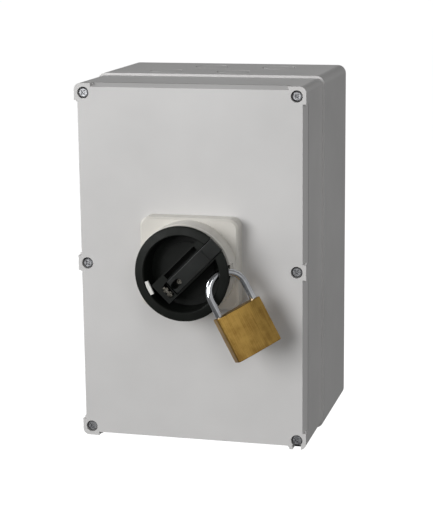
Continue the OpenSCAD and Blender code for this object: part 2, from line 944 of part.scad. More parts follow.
module hinge_pins() {
    color("silver")
        for (i = [0:2])
            at_fuse(i)
                translate([-fuse_base_w / 2, carrier_hinge_y, carrier_hinge_z - fuse_z])
                    rotate([0, 90, 0])
                        cylinder(r = hinge_r, h = fuse_base_w);
}

module fuse_carrier_left() { fuse_carrier(0); }
module fuse_carrier_middle() { fuse_carrier(1); }
module fuse_carrier_right() { fuse_carrier(2); }
module fuse_link_left() { fuse_link(0); }
module fuse_link_middle() { fuse_link(1); }
module fuse_link_right() { fuse_link(2); }
module fuse_caps_left() { fuse_caps(0); }
module fuse_caps_middle() { fuse_caps(1); }
module fuse_caps_right() { fuse_caps(2); }

// Copper straps from the switch's lower contacts to the upper fuse clips
module link_bars() {
    strap_t = 2;
    strap_w = 8;
    low_z = handle_z - deck_side / 2 - 2;
    clip_z = fuse_z + fuse_len / 2 - cap_len / 2 + 4;
    base_y = fuse_base_y - fuse_base_t;
    color([0.8, 0.5, 0.3])
        for (i = [0:2]) {
            x = (i - 1) * fuse_pitch;
            y = stack_back_y - (i + 0.5) * deck_t;
            span_z = low_z - 3 - i * 4;
            block([handle_x - strap_w / 2, handle_x + strap_w / 2], [y - 1, y + 1], [span_z, low_z]);
            block([min(x, handle_x) - strap_w / 2, max(x, handle_x) + strap_w / 2], [y - 1, y + 1],
                  [span_z, span_z + strap_t]);
            block([x - strap_w / 2, x + strap_w / 2], [min(y, base_y) - 1, max(y, base_y)],
                  [span_z, span_z + strap_t]);
            block([x - strap_w / 2, x + strap_w / 2], [base_y - strap_t, base_y],
                  [clip_z, span_z + strap_t]);
        }
}

module earth_bar() {
    color("goldenrod")
        difference() {
            block([-50, 50], [plate_y - plate_metal_t - 8, plate_y - plate_metal_t],
                  [rail_z - 5, rail_z + 5]);
            for (i = [0:7])
                rod(2, plate_y - plate_metal_t - 4, plate_y - plate_metal_t - 9, -42 + 12 * i, rail_z);
        }
}

module earth_screws() {
    color("silver")
        for (i = [0:7])
            translate([-42 + 12 * i, 0, rail_z]) {
                rod(2, plate_y - plate_metal_t - 4, plate_y - plate_metal_t - 8.5);
                rod(3.2, plate_y - plate_metal_t - 8, plate_y - plate_metal_t - 10);
            }
}

base_shell();
lid_gasket();
screw_inserts();
mounting_plate();
plate_screws();
lid_shell();
lid_screws();
screw_washers();
escutcheon();
escutcheon_seal();
escutcheon_screws();
handle_bowl();
index_mark();
lock_slide();
slide_screw();
latch_clip();
hub_clip();
shaft_socket();
padlock_shackle();
padlock_body();
padlock_plug();
switch_shaft();
rotors();
contact_blades();
rear_deck();
middle_deck();
front_deck();
deck_cover();
tie_bolts();
fixed_contacts();
terminal_screws();
fuse_base();
fuse_clips();
hinge_pins();
fuse_carrier_left();
fuse_carrier_middle();
fuse_carrier_right();
fuse_link_left();
fuse_link_middle();
fuse_link_right();
fuse_caps_left();
fuse_caps_middle();
fuse_caps_right();
link_bars();
earth_bar();
earth_screws();
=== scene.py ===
import json
import math
import bmesh
import bpy
from mathutils import Matrix, Vector


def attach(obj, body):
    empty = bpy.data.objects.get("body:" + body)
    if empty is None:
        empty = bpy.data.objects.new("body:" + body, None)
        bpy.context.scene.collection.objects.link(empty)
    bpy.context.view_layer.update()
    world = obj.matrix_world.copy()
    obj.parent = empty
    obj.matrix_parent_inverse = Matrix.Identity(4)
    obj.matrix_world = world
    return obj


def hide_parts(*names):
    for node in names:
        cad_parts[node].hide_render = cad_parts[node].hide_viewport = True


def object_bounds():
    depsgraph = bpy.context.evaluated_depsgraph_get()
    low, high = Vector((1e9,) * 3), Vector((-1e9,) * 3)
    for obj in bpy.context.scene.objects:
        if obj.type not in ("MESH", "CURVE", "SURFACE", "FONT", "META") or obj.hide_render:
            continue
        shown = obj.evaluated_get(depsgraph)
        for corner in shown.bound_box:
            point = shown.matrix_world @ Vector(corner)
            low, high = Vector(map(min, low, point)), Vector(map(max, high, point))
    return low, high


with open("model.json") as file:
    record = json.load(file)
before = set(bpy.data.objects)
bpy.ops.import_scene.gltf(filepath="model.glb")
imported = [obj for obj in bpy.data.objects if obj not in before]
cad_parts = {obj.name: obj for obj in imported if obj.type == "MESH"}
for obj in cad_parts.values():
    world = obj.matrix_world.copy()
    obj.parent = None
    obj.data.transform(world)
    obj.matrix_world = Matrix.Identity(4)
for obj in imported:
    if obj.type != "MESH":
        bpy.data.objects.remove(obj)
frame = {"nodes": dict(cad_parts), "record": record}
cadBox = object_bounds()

mm = 0.001
scene = bpy.context.scene
bodyOf = {node: body for body, nodes in frame["record"]["behaviour"]["bodies"].items() for node in nodes}

# A long lens in front of the box, to its right and a little above. Metres
cameraPlace = {
    "location": (0.35603, -1.43746, 0.29140),
    "right": (0.96760, 0.25228, -0.01046),
    "up": (-0.04324, 0.20639, 0.97751),
    "back": (0.24876, -0.94539, 0.21061),
    "lens": 110.8, "sensor": 36, "nearest": 0.05, "farthest": 40,
}


def addCamera(place):
    data = bpy.data.cameras.new("camera")
    data.lens = place["lens"]
    data.sensor_width = place["sensor"]
    data.clip_start = place["nearest"]
    data.clip_end = place["farthest"]
    camera = bpy.data.objects.new("camera", data)
    turn = Matrix((place["right"], place["up"], place["back"])).transposed()
    camera.matrix_world = Matrix.LocRotScale(Vector(place["location"]), turn.to_quaternion(), None)
    scene.collection.objects.link(camera)
    scene.camera = camera


addCamera(cameraPlace)
print("camera placed")


def hexColour(text):
    # sRGB hex to linear, opaque
    parts = [int(text[i:i + 2], 16) / 255 for i in (0, 2, 4)]
    linear = [c / 12.92 if c <= 0.04045 else ((c + 0.055) / 1.055) ** 2.4 for c in parts]
    return (*linear, 1.0)


def addNode(tree, kind, settings=None, values=None, links=None):
    node = tree.nodes.new(kind)
    for name, value in (settings or {}).items():
        setattr(node, name, value)
    for socket, value in (values or {}).items():
        node.inputs[socket].default_value = value
    for socket, source in (links or {}).items():
        tree.links.new(source, node.inputs[socket])
    return node


def startMaterial(name):
    material = bpy.data.materials.new(name)
    material.use_nodes = True
    tree = material.node_tree
    tree.nodes.clear()
    return material, tree


def rampStops(node, stops):
    ramp = node.color_ramp
    while len(ramp.elements) < len(stops):
        ramp.elements.new(0.5)
    for element, (position, colour) in zip(ramp.elements, stops):
        element.position = position
        element.color = colour


noiseLow = 0.3  # most of a noise texture lies between these two
noiseHigh = 0.7
speckShare = 0.6  # specks in moulded plastic, as a share of the grain's size and of its height
speckHeight = 0.5
lastStop = 0.98  # a colour ramp ends at 1
wholePart = {"origin": (0, 0, 0), "turn": (0, 0, 0)}


def mouldedFinish(name, look):
    # Injection-moulded plastic: one body colour that drifts a little, a fine spark-eroded grain,
    # and roughness that varies where hands and the mould have polished it
    material, tree = startMaterial(name)
    where = addNode(tree, "ShaderNodeTexCoord").outputs["Object"]
    drift = addNode(tree, "ShaderNodeTexNoise", links={"Vector": where}, values={
        "Scale": 1 / (look["driftMm"] * mm), "Detail": 3.0, "Roughness": 0.55})
    colour = addNode(tree, "ShaderNodeValToRGB", links={"Fac": drift.outputs["Fac"]})
    rampStops(colour, [(noiseLow, hexColour(look["dark"])), (noiseHigh, hexColour(look["light"]))])
    polish = addNode(tree, "ShaderNodeTexNoise", links={"Vector": where}, values={
        "Scale": 1 / (look["polishMm"] * mm), "Detail": 4.0})
    rough = addNode(tree, "ShaderNodeMapRange", links={"Value": polish.outputs["Fac"]}, values={
        "From Min": noiseLow, "From Max": noiseHigh, "To Min": look["rough"][0], "To Max": look["rough"][1]})
    grain = addNode(tree, "ShaderNodeTexNoise", links={"Vector": where}, values={
        "Scale": 1 / (look["grainMm"] * mm), "Detail": 2.0, "Roughness": 0.6})
    speck = addNode(tree, "ShaderNodeTexVoronoi", links={"Vector": where}, values={
        "Scale": 1 / (look["grainMm"] * speckShare * mm)})
    height = addNode(tree, "ShaderNodeMath", {"operation": "MULTIPLY_ADD"}, {1: speckHeight},
                     {0: speck.outputs["Distance"], 2: grain.outputs["Fac"]})
    bump = addNode(tree, "ShaderNodeBump", links={"Height": height.outputs[0]}, values={
        "Strength": look["bump"], "Distance": look["grainDepthMm"] * mm})
    shader = addNode(tree, "ShaderNodeBsdfPrincipled", values={
        "IOR": look["ior"], "Specular IOR Level": look.get("gloss", 0.5)}, links={
        "Base Color": colour.outputs["Color"], "Roughness": rough.outputs["Result"],
        "Normal": bump.outputs["Normal"]})
    addNode(tree, "ShaderNodeOutputMaterial", links={"Surface": shader.outputs["BSDF"]})
    return material


def metalFinish(name, look):
    # Worked metal: the tint drifts with tarnish, and brush or tool marks run along one direction
    # of the piece, in its own frame where the piece is tilted
    material, tree = startMaterial(name)
    where = addNode(tree, "ShaderNodeTexCoord").outputs["Object"]
    ownFrame = look.get("frame", wholePart)
    local = addNode(tree, "ShaderNodeMapping", {"vector_type": "TEXTURE"}, {
        "Location": ownFrame["origin"], "Rotation": ownFrame["turn"]}, {"Vector": where}).outputs["Vector"]
    stretch = addNode(tree, "ShaderNodeMapping", {"vector_type": "POINT"}, {
        "Scale": tuple(1 / (step * mm) for step in look["marksMm"])}, {"Vector": local}).outputs["Vector"]
    marks = addNode(tree, "ShaderNodeTexNoise", links={"Vector": stretch}, values={
        "Scale": 1.0, "Detail": 4.0, "Roughness": 0.65})
    drift = addNode(tree, "ShaderNodeTexNoise", links={"Vector": local}, values={
        "Scale": 1 / (look["driftMm"] * mm), "Detail": 4.0, "Roughness": 0.6})
    both = addNode(tree, "ShaderNodeMath", {"operation": "MULTIPLY_ADD"}, {1: look["markTint"]},
                   {0: marks.outputs["Fac"], 2: drift.outputs["Fac"]})
    colour = addNode(tree, "ShaderNodeValToRGB", links={"Fac": both.outputs[0]})
    lift = 0.5 * look["markTint"]  # the marks' mean raises the drift by this much
    rampStops(colour, [(noiseLow + lift, hexColour(look["dark"])),
                       (min(lastStop, noiseHigh + lift), hexColour(look["light"]))])
    rough = addNode(tree, "ShaderNodeMapRange", links={"Value": marks.outputs["Fac"]}, values={
        "From Min": noiseLow, "From Max": noiseHigh, "To Min": look["rough"][0], "To Max": look["rough"][1]})
    bump = addNode(tree, "ShaderNodeBump", links={"Height": marks.outputs["Fac"]}, values={
        "Strength": look["bump"], "Distance": look["markDepthMm"] * mm})
    shader = addNode(tree, "ShaderNodeBsdfPrincipled", values={
        "Metallic": 1.0, "Anisotropic": look.get("anisotropy", 0.0)}, links={
        "Base Color": colour.outputs["Color"], "Roughness": rough.outputs["Result"],
        "Normal": bump.outputs["Normal"]})
    addNode(tree, "ShaderNodeOutputMaterial", links={"Surface": shader.outputs["BSDF"]})
    return material


# Where the padlock hangs, in metres, and how it is turned, in degrees
padlockHang = {"origin": (0.0484, -0.2058, -0.0244), "aboutZ": 33, "aboutX": -15, "aboutY": -23}
padlockTurn = (Matrix.Rotation(math.radians(padlockHang["aboutZ"]), 3, "Z")
               @ Matrix.Rotation(math.radians(padlockHang["aboutX"]), 3, "X")
               @ Matrix.Rotation(math.radians(padlockHang["aboutY"]), 3, "Y"))
padlockFrame = {"origin": padlockHang["origin"], "turn": tuple(padlockTurn.to_euler("XYZ"))}

# The grain of every plastic is 0.1 to 0.3 mm on the real piece; it is drawn coarser so that it shows
finishes = {
    # Polycarbonate housing, light grey, moulded in a satin-eroded tool: a dry, even, slightly cool sheen
    "enclosure_grey": mouldedFinish("mouldedPolycarbonateGrey", {
        "dark": "d2d1d0", "light": "dbdad9", "driftMm": 90, "polishMm": 35, "rough": (0.38, 0.5),
        "grainMm": 1.3, "grainDepthMm": 0.06, "bump": 0.22, "ior": 1.585}),
    # ABS escutcheon, a warmer and smoother grey than the housing
    "escutcheon_grey": mouldedFinish("mouldedAbsWarmGrey", {
        "dark": "d5d2cb", "light": "dedbd4", "driftMm": 40, "polishMm": 18, "rough": (0.34, 0.46),
        "grainMm": 0.9, "grainDepthMm": 0.04, "bump": 0.18, "ior": 1.54}),
    # Glass-filled polyamide handle: near black, satin, its rubbed edges a little greyer
    "handle_black": mouldedFinish("mouldedGlassFilledPolyamideBlack", {
        "dark": "121412", "light": "1b1e1b", "driftMm": 22, "polishMm": 9, "rough": (0.44, 0.6),
        "grainMm": 0.8, "grainDepthMm": 0.05, "bump": 0.3, "ior": 1.53, "gloss": 0.16}),
    # The same plastic as the handle, smoother and a little shinier from being slid
    "slide_black": mouldedFinish("mouldedPolyamideCharcoal", {
        "dark": "111312", "light": "191c1a", "driftMm": 14, "polishMm": 6, "rough": (0.3, 0.42),
        "grainMm": 0.7, "grainDepthMm": 0.04, "bump": 0.25, "ior": 1.53, "gloss": 0.3}),
    # White acetal insert, glossy where it was snapped off its sprue
    "index_white": mouldedFinish("mouldedAcetalWhite", {
        "dark": "e4e3de", "light": "f4f3ef", "driftMm": 8, "polishMm": 4, "rough": (0.25, 0.4),
        "grainMm": 0.7, "grainDepthMm": 0.02, "bump": 0.15, "ior": 1.48}),
    # Zinc-plated steel: pale, slightly cloudy grey metal with a soft shine
    "zinc_steel": metalFinish("zincPlatedSteel", {
        "dark": "8f9092", "light": "b9babd", "driftMm": 3, "markTint": 0.5, "marksMm": (1.2, 1.2, 1.2),
        "rough": (0.28, 0.5), "bump": 0.3, "markDepthMm": 0.03}),
    # Rolled spring steel: dark brown-grey with fine lines along the strip
    "spring_steel": metalFinish("rolledSpringSteel", {
        "dark": "3f3d39", "light": "7a776f", "driftMm": 2.5, "markTint": 0.7, "marksMm": (0.6, 4, 0.6),
        "rough": (0.25, 0.5), "bump": 0.35, "markDepthMm": 0.04}),
    # Solid brass, belt-brushed from top to bottom: soft vertical bands and fine lines
    "padlock_brass": metalFinish("brushedSolidBrass", {
        "dark": "94723a", "light": "bb9751", "driftMm": 16, "markTint": 0.8, "marksMm": (0.5, 0.5, 30),
        "rough": (0.3, 0.46), "bump": 0.3, "markDepthMm": 0.02, "frame": padlockFrame, "anisotropy": 0.4}),
    # Hardened steel, polished and chromed: a sharp mirror with faint polishing haze
    "padlock_steel": metalFinish("polishedChromePlate", {
        "dark": "c4c6ca", "light": "dfe1e4", "driftMm": 12, "markTint": 0.4, "marksMm": (6, 6, 6),
        "rough": (0.07, 0.16), "bump": 0.1, "markDepthMm": 0.02, "frame": padlockFrame}),
    # Nitrile foam and washers: dull, slightly dusty black
    "seal_rubber": mouldedFinish("mouldedNitrileRubber", {
        "dark": "1c1c1d", "light": "2c2c2d", "driftMm": 12, "polishMm": 5, "rough": (0.7, 0.88),
        "grainMm": 0.9, "grainDepthMm": 0.08, "bump": 0.4, "ior": 1.52}),
    # Turned brass: bright yellow with fine rings from the tool
    "insert_brass": metalFinish("turnedBrass", {
        "dark": "a88b4c", "light": "cfb26c", "driftMm": 6, "markTint": 0.5, "marksMm": (3, 0.6, 3),
        "rough": (0.22, 0.4), "bump": 0.25, "markDepthMm": 0.02}),
    # Hot-dip galvanised sheet: pale blue-grey with large soft spangle
    "plate_steel": metalFinish("galvanisedSheetSteel", {
        "dark": "8b9196", "light": "b0b6ba", "driftMm": 9, "markTint": 0.4, "marksMm": (14, 14, 5),
        "rough": (0.35, 0.55), "bump": 0.15, "markDepthMm": 0.03}),
    # Pressed phenolic: dull dark grey, faintly mottled
    "deck_plastic": mouldedFinish("pressedPhenolicDarkGrey", {
        "dark": "282b2f", "light": "34383c", "driftMm": 20, "polishMm": 9, "rough": (0.45, 0.6),
        "grainMm": 1.0, "grainDepthMm": 0.06, "bump": 0.3, "ior": 1.6}),
    # Natural polyamide: warm ivory, satin
    "rotor_plastic": mouldedFinish("mouldedPolyamideIvory", {
        "dark": "d5cdb6", "light": "e2dcc8", "driftMm": 12, "polishMm": 6, "rough": (0.35, 0.5),
        "grainMm": 0.8, "grainDepthMm": 0.04, "bump": 0.25, "ior": 1.53}),
    # Rolled copper: warm pink-brown with lines along the strip
    "contact_copper": metalFinish("rolledCopperStrip", {
        "dark": "a5623f", "light": "cf8c66", "driftMm": 8, "markTint": 0.6, "marksMm": (6, 0.7, 0.7),
        "rough": (0.24, 0.42), "bump": 0.25, "markDepthMm": 0.02}),
    # Glazed steatite tube: white with a faint cream flow under a clear glaze
    "fuse_ceramic": mouldedFinish("glazedSteatite", {
        "dark": "e6e2d6", "light": "f2efe6", "driftMm": 18, "polishMm": 9, "rough": (0.1, 0.22),
        "grainMm": 1.6, "grainDepthMm": 0.03, "bump": 0.1, "ior": 1.5}),
}
print("finishes made:", len(finishes))

# Pieces that keep the part's own shape, with worked edges: (node, slot, edge radius in mm)
edgedPieces = {
    "baseHousing": ("base_shell", "enclosure_grey", 0.6),
    "lidHousing": ("lid_shell", "enclosure_grey", 0.7),
    "lidGasket": ("lid_gasket", "seal_rubber", 0.4),
    "threadInserts": ("screw_inserts", "insert_brass", 0.25),
    "mountingPlate": ("mounting_plate", "plate_steel", 0.3),
    "screwWashers": ("screw_washers", "seal_rubber", 0.25),
    "escutcheonPlate": ("escutcheon", "escutcheon_grey", 0.5),
    "escutcheonSeal": ("escutcheon_seal", "seal_rubber", 0.4),
    "handleBowl": ("handle_bowl", "handle_black", 0.35),
    "indexMark": ("index_mark", "index_white", 0.25),
    "hubClip": ("hub_clip", "spring_steel", 0.2),
    "shaftSocket": ("shaft_socket", "deck_plastic", 0.4),
    "switchShaft": ("switch_shaft", "zinc_steel", 0.3),
    "rotorDiscs": ("rotors", "rotor_plastic", 0.35),
    "contactBlades": ("contact_blades", "contact_copper", 0.2),
    "rearDeck": ("rear_deck", "deck_plastic", 0.5),
    "middleDeck": ("middle_deck", "deck_plastic", 0.5),
    "frontDeck": ("front_deck", "deck_plastic", 0.5),
    "deckCover": ("deck_cover", "deck_plastic", 0.5),
    "fixedContacts": ("fixed_contacts", "contact_copper", 0.25),
    "fuseBases": ("fuse_base", "deck_plastic", 0.6),
    "fuseClips": ("fuse_clips", "contact_copper", 0.25),
    "hingePins": ("hinge_pins", "zinc_steel", 0.3),
    "fuseCarrierLeft": ("fuse_carrier_left", "deck_plastic", 0.6),
    "fuseCarrierMiddle": ("fuse_carrier_middle", "deck_plastic", 0.6),
    "fuseCarrierRight": ("fuse_carrier_right", "deck_plastic", 0.6),
    "fuseLinkLeft": ("fuse_link_left", "fuse_ceramic", 0.5),
    "fuseLinkMiddle": ("fuse_link_middle", "fuse_ceramic", 0.5),
    "fuseLinkRight": ("fuse_link_right", "fuse_ceramic", 0.5),
    "fuseCapsLeft": ("fuse_caps_left", "zinc_steel", 0.25),
    "fuseCapsMiddle": ("fuse_caps_middle", "zinc_steel", 0.25),
    "fuseCapsRight": ("fuse_caps_right", "zinc_steel", 0.25),
    "linkBars": ("link_bars", "contact_copper", 0.3),
    "earthBar": ("earth_bar", "insert_brass", 0.4),
    "slideScrew": ("slide_screw", "spring_steel", 0.2),
    "keyPlug": ("padlock_plug", "insert_brass", 0.25),
}

# Corners closer than weld (mm) are one; edges sharper than fromAngle (degrees) are rounded
edgeWork = {"weld": 0.002, "flatWithin": 0.6, "fromAngle": 38, "segments": 2}


def mergedCopy(node):
    source = frame["nodes"][node]
    work = bmesh.new()
    work.from_mesh(source.data)
    bmesh.ops.remove_doubles(work, verts=work.verts, dist=edgeWork["weld"] * mm)
    bmesh.ops.dissolve_limit(work, angle_limit=math.radians(edgeWork["flatWithin"]), verts=work.verts,
                             edges=work.edges, use_dissolve_boundaries=False)
    return work


def applyModifiers(piece):
    # What the modifiers make becomes the piece's own plain mesh
    graph = bpy.context.evaluated_depsgraph_get()
    made = bpy.data.meshes.new_from_object(piece.evaluated_get(graph))
    piece.modifiers.clear()
    piece.data = made
    return made


def looseObject(work, name):
    mesh = bpy.data.meshes.new(name)
    work.to_mesh(mesh)
    work.free()
    thing = bpy.data.objects.new(name, mesh)
    scene.collection.objects.link(thing)
    return thing


def finishMesh(work, name, material, edgeRadius=0.0, flatAngle=32):
    # bmesh to a plain object with even shading; sharp edges stay sharp
    piece = looseObject(work, name)
    if edgeRadius > 0:
        edge = piece.modifiers.new("workedEdges", "BEVEL")
        edge.width = edgeRadius * mm
        edge.segments = edgeWork["segments"]
        edge.limit_method = "ANGLE"
        edge.angle_limit = math.radians(edgeWork["fromAngle"])
        edge.use_clamp_overlap = True
        edge.miter_outer = "MITER_ARC"
    for face in piece.data.polygons:
        face.use_smooth = True
    plain = applyModifiers(piece)
    plain.name = name
    plain.set_sharp_from_angle(angle=math.radians(flatAngle))
    plain.materials.clear()
    plain.materials.append(material)
    even = piece.modifiers.new("evenShading", "WEIGHTED_NORMAL")
    even.keep_sharp = True
    applyModifiers(piece).name = name
    return piece


def placePiece(piece, node):
    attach(piece, bodyOf[node])
    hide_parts(node)


for name, (node, slotName, edgeRadius) in edgedPieces.items():
    placePiece(finishMesh(mergedCopy(node), name, finishes[slotName], edgeRadius), node)
print("edged pieces:", len(edgedPieces))

# Shackle, in the padlock's own frame: z is 0 at the body's top. Millimetres
shackle = {
    "barRadius": 3.1, "legSpacing": 33.0, "legLength": 15.0,
    "toeDepth": 9.0, "heelDepth": 26.0, "endGap": 1.0,
    "arcSteps": 40, "sides": 32, "endChamfer": 0.6,
    "notchDepth": 1.4, "notchLow": -6.0, "notchHigh": -3.0, "near": 0.01,
}


def sweepTube(work, points, radii, sides, sideways):
    # Rings across a flat path, closed with a face at each end
    rings = []
    for i, point in enumerate(points):
        ahead = points[min(i + 1, len(points) - 1)] - points[max(i - 1, 0)]
        ahead.normalize()
        across = ahead.cross(sideways).normalized()
        ring = []
        for k in range(sides):
            a = 2 * math.pi * k / sides
            ring.append(work.verts.new(point + radii[i] * (math.cos(a) * across + math.sin(a) * sideways)))
        rings.append(ring)
    for low, high in zip(rings, rings[1:]):
        for k in range(sides):
            work.faces.new((low[k], low[(k + 1) % sides], high[(k + 1) % sides], high[k]))
    work.faces.new(list(reversed(rings[0])))
    work.faces.new(rings[-1])


def buildShackle(size):
    half = size["legSpacing"] / 2
    radius = size["barRadius"]
    chamfer = size["endChamfer"]
    toeEnd = -size["toeDepth"] + size["endGap"]
    heelEnd = -size["heelDepth"] + size["endGap"]
    # Each step is x, z and the bar's radius there
    steps = [(-half, toeEnd, radius - chamfer),
             (-half, toeEnd + chamfer, radius),
             (-half, size["notchLow"], radius),
             (-half, size["notchHigh"], radius),
             (-half, size["legLength"] / 2, radius)]
    for i in range(size["arcSteps"] + 1):
        a = math.pi * (1 - i / size["arcSteps"])
        steps.append((half * math.cos(a), size["legLength"] + half * math.sin(a), radius))
    steps += [(half, size["legLength"] / 2, radius),
              (half, heelEnd + chamfer, radius),
              (half, heelEnd, radius - chamfer)]
    work = bmesh.new()
    sweepTube(work, [Vector((x, 0, z)) * mm for x, z, r in steps], [r * mm for x, z, r in steps],
              size["sides"], Vector((0, 1, 0)))
    # The latch notch is a flat in the toe, facing the other leg
    near = size["near"]
    for vert in work.verts:
        x = vert.co.x / mm
        z = vert.co.z / mm
        if x < -half + radius + near and size["notchLow"] - near <= z <= size["notchHigh"] + near:
            vert.co.x = min(x, -half + radius - size["notchDepth"]) * mm
    bmesh.ops.recalc_face_normals(work, faces=work.faces)
    work.transform(Matrix.Translation(padlockFrame["origin"]) @ padlockTurn.to_4x4())
    return finishMesh(work, "padlockShackle", finishes["padlock_steel"], flatAngle=40)


placePiece(buildShackle(shackle), "padlock_shackle")
print("shackle swept")

# Padlock body: crowned faces, rounded corners, three bores. Bores are x, y and the lowest z
brassBody = {
    "width": 42.0, "height": 40.0, "thickness": 14.0,
    "crown": 1.5, "cornerRadius": 1.4, "cornerSteps": 4, "faceSteps": 28,
    # How deep below an end the outline has come in how far, as shares of edge
    "edge": 0.8, "edgeProfile": ((0, 1), (0.1, 0.55), (0.4, 0.15), (1, 0)), "weld": 0.01,
    "toeBore": (-16.5, 0.0, -9.0), "heelBore": (16.5, 0.0, -38.0), "boreRadius": 3.16,
    "plugRadius": 6.26, "plugTop": -16.0, "plugSides": 64, "past": 1.0,
}


def cutAway(piece, tool, operation="DIFFERENCE"):
    cut = piece.modifiers.new("cut", "BOOLEAN")
    cut.operation = operation
    cut.solver = "EXACT"
    cut.object = tool
    applyModifiers(piece)
    bpy.data.objects.remove(tool)


def roundTool(centre, turn, length, radius, sides):
    work = bmesh.new()
    bmesh.ops.create_cone(work, cap_ends=True, segments=sides, radius1=radius * mm, radius2=radius * mm,
                          depth=length * mm, matrix=Matrix.Translation(Vector(centre) * mm) @ turn)
    return looseObject(work, "bore")


def alongZ(x, y, low, high, radius, sides=40):
    return roundTool((x, y, (low + high) / 2), Matrix.Identity(4), high - low, radius, sides)


def alongY(u, w, y, radius, sides=32):
    quarter = Matrix.Rotation(math.radians(90), 4, "X")
    return roundTool((u, (y[0] + y[1]) / 2, w), quarter, abs(y[1] - y[0]), radius, sides)


def crownedOutline(size):
    # Seen from above: corner arcs joined by gently crowned front and back faces
    half = size["width"] / 2
    corner = size["cornerRadius"]
    deep = size["thickness"] / 2
    turn = 90 / size["cornerSteps"]
    points = []
    for side in (-1, 1):
        for i in range(size["faceSteps"] + 1):
            x = side * (-half + corner + (2 * half - 2 * corner) * i / size["faceSteps"])
            points.append((x, side * (deep - size["crown"] * (x / half) ** 2)))
        middleX = side * (half - corner)
        middleY = side * (deep - size["crown"] * ((half - corner) / half) ** 2 - corner)
        for step in range(1, size["cornerSteps"] + 1):
            a = math.radians(90 - turn * step)
            points.append((middleX + side * corner * math.cos(a), middleY + side * corner * math.sin(a)))
        for step in range(size["cornerSteps"]):
            a = math.radians(-turn * step)
            points.append((middleX + side * corner * math.cos(a), -middleY + side * corner * math.sin(a)))
    return points


def buildPadlockBody(size):
    outline = crownedOutline(size)
    half = size["width"] / 2
    deep = size["thickness"] / 2
    levels = [(-depth * size["edge"], inset * size["edge"]) for depth, inset in size["edgeProfile"]]
    levels += [(-size["height"] - z, inset) for z, inset in reversed(levels)]
    work = bmesh.new()
    rings = []
    for z, inset in levels:
        ring = [Vector((x * (1 - inset / half), y * (1 - inset / deep), z)) * mm for x, y in outline]
        rings.append([work.verts.new(point) for point in ring])
    for high, low in zip(rings, rings[1:]):
        for k in range(len(outline)):
            after = (k + 1) % len(outline)
            work.faces.new((high[k], high[after], low[after], low[k]))
    work.faces.new(rings[0])
    work.faces.new(rings[-1])
    bmesh.ops.remove_doubles(work, verts=work.verts, dist=size["weld"] * mm)
    bmesh.ops.recalc_face_normals(work, faces=work.faces)
    piece = looseObject(work, "padlockBlank")
    for x, y, low in (size["toeBore"], size["heelBore"]):
        cutAway(piece, alongZ(x, y, low, size["past"], size["boreRadius"]))
    plugLow = -size["height"] - size["past"]
    cutAway(piece, alongZ(0, 0, plugLow, size["plugTop"], size["plugRadius"], size["plugSides"]))
    work = bmesh.new()
    work.from_mesh(piece.data)
    bpy.data.objects.remove(piece)
    work.transform(Matrix.Translation(padlockFrame["origin"]) @ padlockTurn.to_4x4())
    return finishMesh(work, "padlockBody", finishes["padlock_brass"], flatAngle=30)


placePiece(buildPadlockBody(brassBody), "padlock_body")
print("padlock body made")

# Lock slide and latch, in the grip bar's own frame: u along the bar, w across it, y as the box's own
gripPlace = {"axis": (3, 0, 3), "turnAboutY": -45}
gripFrame = (Matrix.Translation(Vector(gripPlace["axis"]) * mm)
             @ Matrix.Rotation(math.radians(gripPlace["turnAboutY"]), 4, "Y"))
lockSlide = {
    "centre": -2.8, "halfWidth": 6.65, "low": -14.5, "high": 27.5, "top": -210.8, "floor": -201.75,
    "headLow": 26.5, "headHigh": 40.0, "headTop": -211.2, "headBack": -208.0,
    "slotLow": -11.0, "slotHigh": -6.8, "slotRadius": 3.1, "slotEdge": 0.02, "edge": 0.75, "past": 2.0,
}
latch = {
    "centre": (-19.0, -2.8), "top": -212.6, "back": -207.6, "arm": 5.0, "armHalf": 1.3, "edge": 0.35,
    "padHalf": 2.4, "padNear": 0.8, "padFar": 3.2, "padDrop": 0.5,
    "holeAt": 3.6, "holeRadius": 0.7, "holeDepth": 0.7, "holeSides": 16, "past": 1.0,
}


def softBlock(u, y, w, edge, steps=3):
    # Block with rounded edges, given by its limits
    work = bmesh.new()
    bmesh.ops.create_cube(work, size=1.0)
    for vert in work.verts:
        vert.co = Vector([limits[0] if c < 0 else limits[1] for c, limits in zip(vert.co, (u, y, w))]) * mm
    bmesh.ops.bevel(work, geom=work.edges, offset=edge * mm, segments=steps, profile=0.5, affect="EDGES")
    bmesh.ops.recalc_face_normals(work, faces=work.faces)
    return looseObject(work, "block")


def closeGripPiece(blank, name, slotName, node):
    work = bmesh.new()
    work.from_mesh(blank.data)
    bpy.data.objects.remove(blank)
    work.transform(gripFrame)
    placePiece(finishMesh(work, name, finishes[slotName], flatAngle=35), node)


def buildLockSlide(size):
    middle = size["centre"]
    w = (middle - size["halfWidth"], middle + size["halfWidth"])
    bar = softBlock((size["low"], size["high"]), (size["top"], size["floor"]), w, size["edge"])
    head = softBlock((size["headLow"], size["headHigh"]), (size["headTop"], size["headBack"]), w,
                     size["edge"])
    cutAway(bar, head, "UNION")
    y = (size["top"] - size["past"], size["floor"] + size["past"])
    slot = (size["slotLow"], size["slotHigh"])
    for u in slot:
        cutAway(bar, alongY(u, middle, y, size["slotRadius"]))
    sides = (middle - size["slotRadius"], middle + size["slotRadius"])
    cutAway(bar, softBlock(slot, y, sides, size["slotEdge"], 1))
    closeGripPiece(bar, "lockSlide", "slide_black", "lock_slide")


